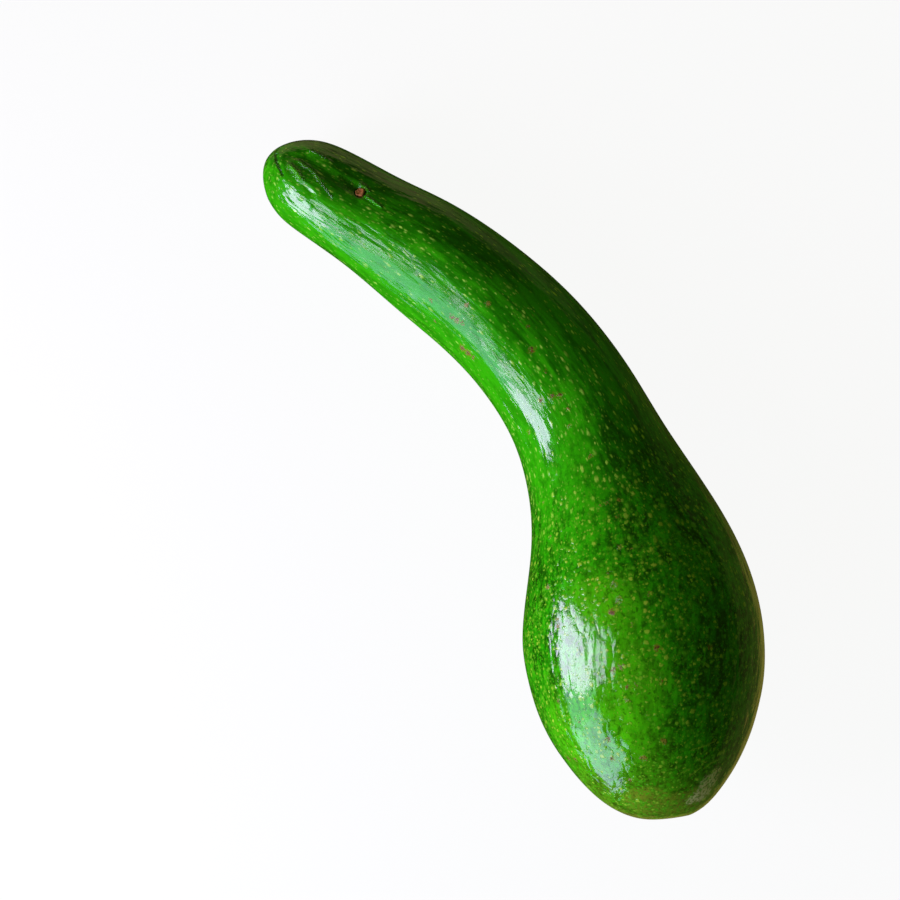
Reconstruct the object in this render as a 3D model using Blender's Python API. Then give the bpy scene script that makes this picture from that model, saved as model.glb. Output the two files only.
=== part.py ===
"""A long-necked avocado lying on its side: one solid fruit, and the stub of its stem in a pit in the neck.

Metres, +Z up. The neck points along +Y, the outer side of its bend faces +X, and the fruit rests on Z = 0.
"""

import math

import bmesh
import bpy
import numpy as np
from mathutils import Matrix, Vector

# The core line that the fruit grew along, in the flat plane of its bend, from the blossom end to the
# tip of the neck. Each row is its place across (+X is the outer side of the bend) and along (+Y is the
# neck), counted from the middle of the bulb, and the half width of the fruit there.
CORE_LINE = (
    (-0.0329, -0.0563, 0.0000),
    (-0.0206, -0.0379, 0.0318),
    (-0.0102, -0.0192, 0.0407),
    (0.0000, 0.0000, 0.0436),
    (0.0082, 0.0204, 0.0408),
    (0.0144, 0.0417, 0.0345),
    (0.0188, 0.0636, 0.0285),
    (0.0210, 0.0860, 0.0253),
    (0.0191, 0.1084, 0.0240),
    (0.0107, 0.1412, 0.0234),
    (0.0019, 0.1623, 0.0225),
    (-0.0088, 0.1825, 0.0197),
    (-0.0197, 0.2027, 0.0177),
    (-0.0253, 0.2126, 0.0155),
    (-0.0328, 0.2246, 0.0000),
)

# How the fruit lies: the slope of its plane down to the neck and down to the outer side of the bend, and
# the depth that its weight presses flat where it touches.
SLOPE_TO_NECK = 0.1305
SLOPE_TO_OUTER_SIDE = 0.1491
PRESSED_DEPTH = 0.0017
PRESSED_EDGE = 0.0004

# The blossom end is fuller on the outer side of the bend, by this much at most, and less with distance
# along the core line and with the angle round it.
SHOULDER_HEIGHT = 0.0044
SHOULDER_LENGTH = 0.012
SHOULDER_WIDTH = 0.7

# Lengthwise flutes that gather at the tip of the neck and fade away from it
FLUTE_COUNT = 5
FLUTE_DEPTH = 0.0005
FLUTE_REACH = 0.022

# Two furrows along the inner side of the bend, each an angle round from that side, and the stretch they run
FURROW_ANGLES = (math.radians(24), math.radians(-31))
FURROW_WIDTH = math.radians(11)
FURROW_DEPTH = 0.0007
FURROW_MIDDLE = 0.158
FURROW_HALF_LENGTH = 0.045

# Broad, shallow unevenness of the skin: waves that wind round it, each with its count of crests in a
# section, its length along the core line for one radian, and its start
SWELL_DEPTH = 0.0004
SWELLS = ((2, 0.021, 0.0), (3, -0.013, 1.0))

# Relief is full where the half width is at least this, and dies away towards the two ends
FULL_RELIEF_WIDTH = 0.012

# Where the stem grew: distance from the tip along the core line, and angle round from the inner side
STEM_FROM_TIP = 0.0390
STEM_ANGLE = math.radians(98)
STUB_RADIUS = 0.0017
STUB_HEIGHT = 0.0022
STUB_SUNK = 0.0016
STUB_ROUNDING = 0.0006
STUB_LEAN_TO_TIP = math.radians(22)
PIT_CLEARANCE = 0.0003
PIT_CUTTER_PROUD = 0.004

# The shallow valley that the stem lay in, from near the tip of the neck to the pit
VALLEY_DEPTH = 0.0012
VALLEY_HALF_WIDTH = 0.0042
VALLEY_START = 0.004
VALLEY_FADE_IN = 0.012
VALLEY_FADE_OUT = 0.004

# Finishes: glossy green skin, and dry brown wood
SKIN_COLOUR = (0.035, 0.23, 0.012)
SKIN_ROUGHNESS = 0.28
STUB_COLOUR = (0.30, 0.12, 0.045)
STUB_ROUGHNESS = 0.75

# Facets
RINGS = 66
SIDES = 44
STUB_SIDES = 20
ROUNDING_STEPS = 3

# Steps that curves are measured with
FINE_COUNT = 4000
SMALL_STEP = 0.0001


def clear_scene():
    """Removes every object of the startup scene."""
    for obj in list(bpy.data.objects):
        bpy.data.objects.remove(obj, do_unlink=True)


def cubic_through(knots, values):
    """The natural cubic spline through values at knots, as a function of an array of places."""
    knots, values = np.asarray(knots, float), np.asarray(values, float)
    gap = np.diff(knots)
    slope = np.diff(values) / gap
    system = np.eye(len(knots))
    right = np.zeros(len(knots))
    for i in range(1, len(knots) - 1):
        system[i, i - 1 : i + 2] = gap[i - 1], 2 * (gap[i - 1] + gap[i]), gap[i]
        right[i] = 6 * (slope[i] - slope[i - 1])
    bend = np.linalg.solve(system, right)

    def at(places):
        places = np.asarray(places, float)
        i = np.clip(np.searchsorted(knots, places, side="right") - 1, 0, len(gap) - 1)
        before, after = places - knots[i], knots[i + 1] - places
        curve = (bend[i] * after**3 + bend[i + 1] * before**3) / (6 * gap[i])
        start = (values[i] / gap[i] - bend[i] * gap[i] / 6) * after
        end = (values[i + 1] / gap[i] - bend[i + 1] * gap[i] / 6) * before
        return curve + start + end

    return at


class CoreLine:
    """The core line of the fruit, its half width, and the directions that its sections are drawn in."""

    def __init__(self, rows):
        rows = np.array(rows)
        steps = np.hypot(*np.diff(rows[:, :2], axis=0).T)
        knots = np.concatenate([[0.0], np.cumsum(steps)])
        self.length = float(knots[-1])
        self.across = cubic_through(knots, rows[:, 0])
        self.along = cubic_through(knots, rows[:, 1])
        # The square of the half width falls evenly to nothing at a round end, so that is what is smooth.
        self.half_width_squared = cubic_through(knots, rows[:, 2] ** 2)

    def half_width(self, places):
        return np.sqrt(np.maximum(self.half_width_squared(places), 0.0))

    def points(self, places):
        return np.stack([self.across(places), self.along(places), np.zeros_like(places)], axis=-1)

    def headings(self, places):
        """Unit vectors along the line, towards the neck."""
        ahead = self.points(np.minimum(places + SMALL_STEP, self.length))
        behind = self.points(np.maximum(places - SMALL_STEP, 0.0))
        return (ahead - behind) / np.linalg.norm(ahead - behind, axis=-1, keepdims=True)

    def even_places(self, count):
        """Places from end to end that lie an even distance apart on the skin, ends included."""
        fine = self.length * (1 - np.cos(np.linspace(0, math.pi, FINE_COUNT))) / 2
        reached = np.hypot(np.diff(fine), np.diff(self.half_width(fine)))
        reached = np.concatenate([[0.0], np.cumsum(reached)])
        return np.interp(np.linspace(0, reached[-1], count), reached, fine)


def bell(distance, half_width):
    """1 at no distance, falling smoothly to almost nothing at twice the half width."""
    return np.exp(-((distance / half_width) ** 2))


def angle_between(angles, other):
    """The angle from other to angles, from -pi to pi."""
    return (angles - other + math.pi) % (2 * math.pi) - math.pi


def smooth_step(value, start, end):
    """0 up to start and 1 from end on, with a smooth rise between them."""
    part = np.clip((value - start) / (end - start), 0, 1)
    return part**2 * (3 - 2 * part)


def shoulder(places, angles):
    """The fuller side of the blossom end."""
    from_outer_side = angle_between(angles, math.pi)
    return SHOULDER_HEIGHT * bell(places, SHOULDER_LENGTH) * bell(from_outer_side, SHOULDER_WIDTH)


def tip_flutes(from_tip, angles):
    """The flutes of the tip of the neck."""
    return FLUTE_DEPTH * np.cos(FLUTE_COUNT * angles) * np.exp(-from_tip / FLUTE_REACH)


def inner_furrows(places, angles):
    """The furrows along the inner side of the bend."""
    across = sum(bell(angle_between(angles, middle), FURROW_WIDTH) for middle in FURROW_ANGLES)
    return -FURROW_DEPTH * across * bell(places - FURROW_MIDDLE, FURROW_HALF_LENGTH)


def swells(places, angles):
    """The broad unevenness of the skin."""
    waves = [np.sin(crests * angles + places / pitch + start) for crests, pitch, start in SWELLS]
    return SWELL_DEPTH * sum(waves)


def stem_valley(core, places, angles):
    """The valley that the stem lay in."""
    from_tip = core.length - places
    arc = angle_between(angles, STEM_ANGLE) * core.half_width(places)
    opening = smooth_step(from_tip, VALLEY_START, VALLEY_START + VALLEY_FADE_IN)
    closing = 1 - smooth_step(from_tip, STEM_FROM_TIP, STEM_FROM_TIP + VALLEY_FADE_OUT)
    return -VALLEY_DEPTH * bell(arc, VALLEY_HALF_WIDTH) * opening * closing


def relief(core, places, angles):
    """How far the skin stands out from its round section, or in where it is negative."""
    forms = shoulder(places, angles) + tip_flutes(core.length - places, angles)
    forms = forms + inner_furrows(places, angles) + swells(places, angles)
    forms = forms + stem_valley(core, places, angles)
    return forms * np.clip(core.half_width(places) / FULL_RELIEF_WIDTH, 0, 1) ** 2


def skin_points(core, places, angles):
    """Points of the skin in the plane of the bend, at places along the core line and angles round it."""
    heading = core.headings(places)
    inner = np.stack([-heading[..., 1], heading[..., 0], np.zeros_like(places)], axis=-1)
    upward = np.array([0.0, 0.0, 1.0])
    reach = core.half_width(places) + relief(core, places, angles)
    around = np.cos(angles)[..., None] * inner + np.sin(angles)[..., None] * upward
    return core.points(places) + reach[..., None] * around


def lying_matrix():
    """Turns the plane of the bend to how the fruit lies: least turn that brings its own up to +Z."""
    level = math.sqrt(1 - SLOPE_TO_NECK**2 - SLOPE_TO_OUTER_SIDE**2)
    own_up = Vector((-SLOPE_TO_OUTER_SIDE, -SLOPE_TO_NECK, level))
    return own_up.rotation_difference(Vector((0, 0, 1))).to_matrix()


def pressed(heights):
    """Heights above the surface, with what would be below it flat on it and a soft edge round that."""
    blend = (heights + PRESSED_EDGE) ** 2 / (4 * PRESSED_EDGE)
    return np.where(heights > PRESSED_EDGE, heights, np.where(heights < -PRESSED_EDGE, 0.0, blend))


def new_object(name, mesh, colour, roughness):
    """An object of its own in the scene, with its own material."""
    material = bpy.data.materials.new(name)
    material.use_nodes = True
    shader = material.node_tree.nodes["Principled BSDF"]
    shader.inputs["Base Color"].default_value = (*colour, 1.0)
    shader.inputs["Roughness"].default_value = roughness
    shader.inputs["Metallic"].default_value = 0.0
    mesh.materials.append(material)
    obj = bpy.data.objects.new(name, mesh)
    bpy.context.scene.collection.objects.link(obj)
    return obj


def make_fruit(core, to_rest):
    """The fruit: rings of skin points along the core line, closed at both ends, pressed flat underneath."""
    places = core.even_places(RINGS + 2)
    angles = np.arange(SIDES) * 2 * math.pi / SIDES
    ring_places, ring_angles = np.meshgrid(places[1:-1], angles, indexing="ij")
    rings = skin_points(core, ring_places, ring_angles)
    ends = core.points(places[[0, -1]])
    points = np.concatenate([rings.reshape(-1, 3), ends]) @ np.array(to_rest.to_3x3()).T
    points += np.array(to_rest.translation)
    points[:, 2] = pressed(points[:, 2])

    shape = bmesh.new()
    corners = [shape.verts.new(point) for point in points]
    blossom_end, tip = corners[-2:]
    for ring in range(RINGS - 1):
        for side in range(SIDES):
            after = (side + 1) % SIDES
            quad = [(ring, side), (ring + 1, side), (ring + 1, after), (ring, after)]
            shape.faces.new([corners[r * SIDES + s] for r, s in quad])
    for side in range(SIDES):
        after = (side + 1) % SIDES
        shape.faces.new([blossom_end, corners[side], corners[after]])
        last = (RINGS - 1) * SIDES
        shape.faces.new([tip, corners[last + after], corners[last + side]])
    bmesh.ops.recalc_face_normals(shape, faces=shape.faces)
    mesh = bpy.data.meshes.new("avocado")
    shape.to_mesh(mesh)
    shape.free()
    mesh.shade_smooth()
    return new_object("avocado", mesh, SKIN_COLOUR, SKIN_ROUGHNESS)


def round_peg(name, radius, height, rounding, sides):
    """A mesh of a short peg on the +Z axis, its top at Z = 0, with rounded rims."""
    shape = bmesh.new()
    bmesh.ops.create_cone(
        shape, cap_ends=True, segments=sides, radius1=radius, radius2=radius, depth=height
    )
    bmesh.ops.translate(shape, verts=shape.verts, vec=(0, 0, -height / 2))
    rims = [edge for edge in shape.edges if abs(edge.verts[0].co.z - edge.verts[1].co.z) < rounding / 10]
    bmesh.ops.bevel(
        shape, geom=rims, offset=rounding, segments=ROUNDING_STEPS, affect="EDGES", profile=0.5
    )
    mesh = bpy.data.meshes.new(name)
    shape.to_mesh(mesh)
    shape.free()
    mesh.shade_smooth()
    return mesh


def stem_axes(core, to_rest):
    """Where the stem left the skin, as a matrix whose +Z points out along the stem."""
    place = np.array([core.length - STEM_FROM_TIP])

    def skin(along, turn):
        return Vector(skin_points(core, place + along, np.array([STEM_ANGLE + turn]))[0])

    to_tip = (skin(SMALL_STEP, 0) - skin(-SMALL_STEP, 0)).normalized()
    turn_step = SMALL_STEP / STUB_RADIUS
    round_about = (skin(0, turn_step) - skin(0, -turn_step)).normalized()
    outward = round_about.cross(to_tip).normalized()
    axis = (outward + math.tan(STUB_LEAN_TO_TIP) * to_tip).normalized()
    turn = axis.to_track_quat("Z", "Y").to_matrix().to_4x4()
    return to_rest @ Matrix.Translation(skin(0, 0)) @ turn


def make_stem_stub(fruit, axes):
    """The dry stub of the stem, and the pit that it sits in with a clear gap all round."""
    pit_radius = STUB_RADIUS + PIT_CLEARANCE
    pit_depth = STUB_SUNK + PIT_CLEARANCE
    cutter_height = pit_depth + PIT_CUTTER_PROUD
    cutter_mesh = round_peg("pit_cutter", pit_radius, cutter_height, STUB_ROUNDING, STUB_SIDES)
    cutter = bpy.data.objects.new("pit_cutter", cutter_mesh)
    bpy.context.scene.collection.objects.link(cutter)
    cutter.matrix_world = axes @ Matrix.Translation((0, 0, PIT_CUTTER_PROUD))
    cutter.hide_render = True
    cutter.display_type = "WIRE"
    cut = fruit.modifiers.new("stem_pit", "BOOLEAN")
    cut.operation = "DIFFERENCE"
    cut.object = cutter

    stub_mesh = round_peg("stem_stub", STUB_RADIUS, STUB_HEIGHT, STUB_ROUNDING, STUB_SIDES)
    stub = new_object("stem_stub", stub_mesh, STUB_COLOUR, STUB_ROUGHNESS)
    stub.matrix_world = axes @ Matrix.Translation((0, 0, STUB_HEIGHT - STUB_SUNK))
    return stub


def resting_place(core):
    """The move from the plane of the bend to lying on Z = 0, with the origin in the middle of its box."""
    turn = lying_matrix()
    places = np.linspace(0, core.length, FINE_COUNT // 10)
    angles = np.linspace(0, 2 * math.pi, FINE_COUNT // 20)
    points = skin_points(core, *np.meshgrid(places, angles)).reshape(-1, 3) @ np.array(turn).T
    low, high = points.min(axis=0), points.max(axis=0)
    middle = (low + high) / 2
    return Matrix.Translation((-middle[0], -middle[1], -low[2] - PRESSED_DEPTH)) @ turn.to_4x4()


def main():
    clear_scene()
    core = CoreLine(CORE_LINE)
    to_rest = resting_place(core)
    fruit = make_fruit(core, to_rest)
    make_stem_stub(fruit, stem_axes(core, to_rest))


main()
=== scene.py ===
"""A long-necked avocado on a pale surface, in the soft light of one wide window.

Metres and +Z up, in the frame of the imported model, unless a name or a docstring says millimetres. Places
on the skin are counted along the core line that the fruit grew along, from its blossom end, and round it
from the inner side of its bend. Grown coordinates are those of the fruit with its core line straightened,
in millimetres.
"""

import logging
import math
from collections.abc import Mapping, Sequence
from dataclasses import dataclass, field
from enum import Enum

import bpy
import numpy as np
from mathutils import Matrix, Vector, noise
from mathutils.bvhtree import BVHTree
from mathutils.interpolate import poly_3d_calc

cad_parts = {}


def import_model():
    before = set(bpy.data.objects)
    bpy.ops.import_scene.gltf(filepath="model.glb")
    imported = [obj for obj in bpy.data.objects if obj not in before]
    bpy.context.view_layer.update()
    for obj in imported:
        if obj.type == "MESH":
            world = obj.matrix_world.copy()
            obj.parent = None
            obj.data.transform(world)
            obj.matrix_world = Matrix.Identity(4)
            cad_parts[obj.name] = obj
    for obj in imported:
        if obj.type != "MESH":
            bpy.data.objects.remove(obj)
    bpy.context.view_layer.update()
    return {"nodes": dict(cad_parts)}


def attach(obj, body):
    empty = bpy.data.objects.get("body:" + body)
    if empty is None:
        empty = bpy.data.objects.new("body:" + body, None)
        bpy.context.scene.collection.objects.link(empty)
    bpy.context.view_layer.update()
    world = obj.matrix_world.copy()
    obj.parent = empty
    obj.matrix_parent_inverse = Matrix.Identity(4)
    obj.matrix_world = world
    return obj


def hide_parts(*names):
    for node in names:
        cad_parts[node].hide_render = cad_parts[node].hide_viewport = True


LOG = logging.getLogger("avocado")
SMALL_STEP = 0.0001
MM = 0.001
STEM_RADIUS = 0.0017

Array = np.ndarray
Colour = tuple[float, float, float]
Point = tuple[float, float, float]
Pair = tuple[float, float]
Pixel = tuple[int, int]
Face = tuple[int, ...]


def bell(distance: Array, half_width: float) -> Array:
    """1 at no distance, falling smoothly to almost nothing at twice the half width."""
    return np.exp(-((distance / half_width) ** 2))


def angle_between(angles: Array, other: float | Array) -> Array:
    """The angle from other to angles, from -pi to pi."""
    return (angles - other + math.pi) % (2 * math.pi) - math.pi


def smooth_step(value: Array, start: float, end: float) -> Array:
    """0 up to start and 1 from end on, with a smooth rise between them."""
    part = np.clip((value - start) / (end - start), 0, 1)
    return part**2 * (3 - 2 * part)


def cloud(points: Array, wavelength: float, stretch: float, seed: float) -> Array:
    """Noise from -1 to 1, whose lumps are stretched along the third coordinate and moved by the seed."""
    scaled = points / np.array([wavelength, wavelength, wavelength * stretch]) + seed
    return np.array([noise.noise(Vector(point)) for point in scaled])


def spread(fine: Array, weights: Array, count: int) -> Array:
    """Places along a line, closer together where the weights between its fine places are larger."""
    reached = np.concatenate([[0.0], np.cumsum(weights)])
    return np.interp(np.linspace(0, reached[-1], count), reached, fine)


def new_object(name: str, data: bpy.types.ID) -> bpy.types.Object:
    """Adds an object to the scene.

    Args:
        name: its name.
        data: its mesh, light or camera.

    Returns:
        The object.
    """
    obj = bpy.data.objects.new(name, data)
    bpy.context.scene.collection.objects.link(obj)
    return obj


def new_piece(name: str, points: Sequence[Sequence[float]], faces: Sequence[Face]) -> bpy.types.Object:
    """Adds a smooth mesh.

    Args:
        name: the name of the mesh and of its object.
        points: its vertices.
        faces: the vertices of each of its faces.

    Returns:
        The object.
    """
    mesh = bpy.data.meshes.new(name)
    mesh.from_pydata(points, [], faces)
    mesh.shade_smooth()
    return new_object(name, mesh)


def carry(obj: bpy.types.Object, name: str, rows: Array) -> None:
    """Lets a mesh carry a vector at each vertex, which its finish reads by name."""
    layer = obj.data.attributes.new(name, "FLOAT_VECTOR", "POINT")
    layer.data.foreach_set("vector", rows.astype(np.float32).ravel())


def ring_faces(sides: int, rings: int) -> list[Face]:
    """Joins rings of vertices that are numbered one ring after another, and closes the last one.

    Args:
        sides: how many vertices a ring has, anticlockwise as seen from the last ring.
        rings: how many rings there are.

    Returns:
        The faces; those that close the last ring meet in the vertex after all rings.
    """
    faces = []
    last = (rings - 1) * sides
    for side in range(sides):
        after = (side + 1) % sides
        for low in range(0, last, sides):
            faces.append((low + side, low + after, low + sides + after, low + sides + side))
        faces.append((last + side, last + after, last + sides))
    return faces


class SmoothCurve:
    """The natural cubic spline through values at knots."""

    def __init__(self, knots: Array, values: Array) -> None:
        """Works out the spline.

        Args:
            knots: rising places.
            values: the value at each place.
        """
        self.knots = knots
        self.values = values
        self.gap = np.diff(knots)
        slope = np.diff(values) / self.gap
        system = np.eye(len(knots))
        right = np.zeros(len(knots))
        for i in range(1, len(knots) - 1):
            system[i, i - 1 : i + 2] = self.gap[i - 1], 2 * (self.gap[i - 1] + self.gap[i]), self.gap[i]
            right[i] = 6 * (slope[i] - slope[i - 1])
        self.bend = np.linalg.solve(system, right)

    def __call__(self, places: Array) -> Array:
        """The values of the curve.

        Args:
            places: where they are wanted.

        Returns:
            A value for each place.
        """
        i = np.clip(np.searchsorted(self.knots, places, side="right") - 1, 0, len(self.gap) - 1)
        before, after = places - self.knots[i], self.knots[i + 1] - places
        gap, bend, values = self.gap[i], self.bend, self.values
        curve = (bend[i] * after**3 + bend[i + 1] * before**3) / (6 * gap)
        start = (values[i] / gap - bend[i] * gap / 6) * after
        end = (values[i + 1] / gap - bend[i + 1] * gap / 6) * before
        return curve + start + end


class CoreLine:
    """The core line of the fruit, in the flat plane of its bend, and its half width there.

    Each row of the table is a place across (+X is the outer side of the bend) and along (+Y is the neck),
    counted from the middle of the bulb, and the half width there, from the blossom end to the tip.
    """

    ROWS = (
        (-0.0329, -0.0563, 0.0000),
        (-0.0206, -0.0379, 0.0318),
        (-0.0102, -0.0192, 0.0407),
        (0.0000, 0.0000, 0.0436),
        (0.0082, 0.0204, 0.0408),
        (0.0144, 0.0417, 0.0345),
        (0.0188, 0.0636, 0.0285),
        (0.0210, 0.0860, 0.0253),
        (0.0191, 0.1084, 0.0240),
        (0.0107, 0.1412, 0.0234),
        (0.0019, 0.1623, 0.0225),
        (-0.0088, 0.1825, 0.0197),
        (-0.0197, 0.2027, 0.0177),
        (-0.0253, 0.2126, 0.0155),
        (-0.0328, 0.2246, 0.0000),
    )

    def __init__(self) -> None:
        """Lays smooth curves through the rows."""
        rows = np.array(self.ROWS)
        steps = np.hypot(*np.diff(rows[:, :2], axis=0).T)
        knots = np.concatenate([[0.0], np.cumsum(steps)])
        self.length = float(knots[-1])
        self.across = SmoothCurve(knots, rows[:, 0])
        self.along = SmoothCurve(knots, rows[:, 1])
        self.half_width_squared = SmoothCurve(knots, rows[:, 2] ** 2)

    def half_width(self, places: Array) -> Array:
        """Half the fruit's width at places along the line."""
        return np.sqrt(np.maximum(self.half_width_squared(places), 0.0))

    def points(self, places: Array) -> Array:
        """Points of the line."""
        return np.stack([self.across(places), self.along(places), np.zeros_like(places)], axis=-1)

    def headings(self, places: Array) -> Array:
        """Directions of the line.

        Args:
            places: where they are wanted.

        Returns:
            Unit vectors towards the neck.
        """
        ahead = self.points(np.minimum(places + SMALL_STEP, self.length))
        behind = self.points(np.maximum(places - SMALL_STEP, 0.0))
        return (ahead - behind) / np.linalg.norm(ahead - behind, axis=-1, keepdims=True)


@dataclass(frozen=True)
class FruitForm:
    """The broad form of the fruit, which is the form of the CAD solid too."""

    core: CoreLine = field(default_factory=CoreLine)
    slope_to_neck: float = 0.1305
    slope_to_outer_side: float = 0.1491
    pressed_depth: float = 0.0017
    pressed_edge: float = 0.0004
    shoulder_height: float = 0.0044
    shoulder_length: float = 0.012
    shoulder_width: float = 0.7
    flute_count: int = 5
    flute_depth: float = 0.0005
    flute_reach: float = 0.022
    furrow_angles: Pair = (math.radians(24), math.radians(-31))
    furrow_width: float = math.radians(11)
    furrow_depth: float = 0.0007
    furrow_middle: float = 0.158
    furrow_half_length: float = 0.045
    swell_depth: float = 0.0004
    swell_waves: tuple[tuple[int, float, float], ...] = ((2, 0.021, 0.0), (3, -0.013, 1.0))
    full_relief_width: float = 0.012
    stem_from_tip: float = 0.0390
    stem_angle: float = math.radians(98)
    valley_depth: float = 0.0012
    valley_half_width: float = 0.0042
    valley_start: float = 0.004
    valley_fade_in: float = 0.012
    valley_fade_out: float = 0.004

    def relief(self, places: Array, angles: Array) -> Array:
        """How far the broad form stands out from a round section, or in where it is negative.

        Args:
            places: distances along the core line from the blossom end.
            angles: angles round it from the inner side of the bend.

        Returns:
            Heights, in metres.
        """
        from_tip = self.core.length - places
        half_width = self.core.half_width(places)
        outer = bell(angle_between(angles, math.pi), self.shoulder_width)
        forms = self.shoulder_height * bell(places, self.shoulder_length) * outer
        flutes = np.cos(self.flute_count * angles) * np.exp(-from_tip / self.flute_reach)
        furrows = sum(bell(angle_between(angles, middle), self.furrow_width) for middle in self.furrow_angles)
        furrows = furrows * bell(places - self.furrow_middle, self.furrow_half_length)
        swells = sum(np.sin(crests * angles + places / pitch + start)
                     for crests, pitch, start in self.swell_waves)
        forms = forms + self.flute_depth * flutes - self.furrow_depth * furrows + self.swell_depth * swells
        arc = angle_between(angles, self.stem_angle) * half_width
        opening = smooth_step(from_tip, self.valley_start, self.valley_start + self.valley_fade_in)
        closing = 1 - smooth_step(from_tip, self.stem_from_tip, self.stem_from_tip + self.valley_fade_out)
        forms = forms - self.valley_depth * bell(arc, self.valley_half_width) * opening * closing
        return forms * np.clip(half_width / self.full_relief_width, 0, 1) ** 2

    def points(self, places: Array, angles: Array, extra: Array | float = 0.0) -> Array:
        """Points of the skin in the plane of the bend.

        Args:
            places: distances along the core line from the blossom end.
            angles: angles round it from the inner side of the bend.
            extra: heights of finer relief on top of the broad form.

        Returns:
            Points, with one more axis than the places.
        """
        heading = self.core.headings(places)
        inner = np.stack([-heading[..., 1], heading[..., 0], np.zeros_like(places)], axis=-1)
        reach = self.core.half_width(places) + self.relief(places, angles) + extra
        around = np.cos(angles)[..., None] * inner + np.sin(angles)[..., None] * np.array([0.0, 0.0, 1.0])
        return self.core.points(places) + reach[..., None] * around

    def to_rest(self) -> Matrix:
        """Works out how the fruit lies.

        Returns:
            The move from the plane of the bend to Z = 0, with the origin in the middle of the box.
        """
        level = math.sqrt(1 - self.slope_to_neck**2 - self.slope_to_outer_side**2)
        own_up = Vector((-self.slope_to_outer_side, -self.slope_to_neck, level))
        turn = own_up.rotation_difference(Vector((0, 0, 1))).to_matrix()
        places = np.linspace(0, self.core.length, 400)
        angles = np.linspace(0, 2 * math.pi, 200)
        points = self.points(*np.meshgrid(places, angles)).reshape(-1, 3) @ np.array(turn).T
        low, high = points.min(axis=0), points.max(axis=0)
        middle = (low + high) / 2
        return Matrix.Translation((-middle[0], -middle[1], -low[2] - self.pressed_depth)) @ turn.to_4x4()

    def pressed(self, heights: Array) -> Array:
        """Presses the fruit flat where it would be below the floor, with a soft edge round that.

        Args:
            heights: heights above the floor.

        Returns:
            The heights when it is pressed.
        """
        edge = self.pressed_edge
        blend = (heights + edge) ** 2 / (4 * edge)
        return np.where(heights > edge, heights, np.where(heights < -edge, 0.0, blend))

    def stem_axes(self, to_rest: Matrix, lean: float) -> Matrix:
        """Where the stem left the skin.

        Args:
            to_rest: the move to how the fruit lies.
            lean: how far the stem leans towards the tip, in radians.

        Returns:
            A matrix whose +Z points out along the stem.
        """
        place = np.array([self.core.length - self.stem_from_tip])
        angle = np.array([self.stem_angle])
        turn = SMALL_STEP / STEM_RADIUS

        def skin(along: float, round_about: float) -> Vector:
            """The skin a little along and round from the stem."""
            return Vector(self.points(place + along, angle + round_about)[0])

        to_tip = (skin(SMALL_STEP, 0) - skin(-SMALL_STEP, 0)).normalized()
        sideways = (skin(0, turn) - skin(0, -turn)).normalized()
        outward = sideways.cross(to_tip).normalized()
        axis = (outward + math.tan(lean) * to_tip).normalized()
        return to_rest @ Matrix.Translation(skin(0, 0)) @ axis.to_track_quat("Z", "Y").to_matrix().to_4x4()


@dataclass(frozen=True)
class Fold:
    """A narrow ridge of the skin, or a crease where its height is negative, along a line drawn on it.

    The path's points are millimetres from the tip and degrees round the core line.
    """

    path: tuple[Pair, ...]
    height: float
    half_width: float

    def relief(self, core: CoreLine, places: Array, angles: Array) -> Array:
        """How far the fold stands out.

        Args:
            core: the core line.
            places: distances along it from the blossom end.
            angles: angles round it.

        Returns:
            Heights, in metres.
        """
        from_tip = core.length - places
        half_width = core.half_width(places)
        nearest = np.full(places.shape, np.inf)
        for (start, start_angle), (end, end_angle) in zip(self.path, self.path[1:]):
            start_angle, end_angle = math.radians(start_angle), math.radians(end_angle)
            run = end * MM - start * MM
            rise = (end_angle - start_angle) * half_width
            arc = angle_between(angles, start_angle) * half_width
            part = np.clip(((from_tip - start * MM) * run + arc * rise) / (run**2 + rise**2), 0, 1)
            away = np.hypot(from_tip - start * MM - part * run, arc - part * rise)
            nearest = np.minimum(nearest, away)
        return self.height * bell(nearest, self.half_width)


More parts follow.
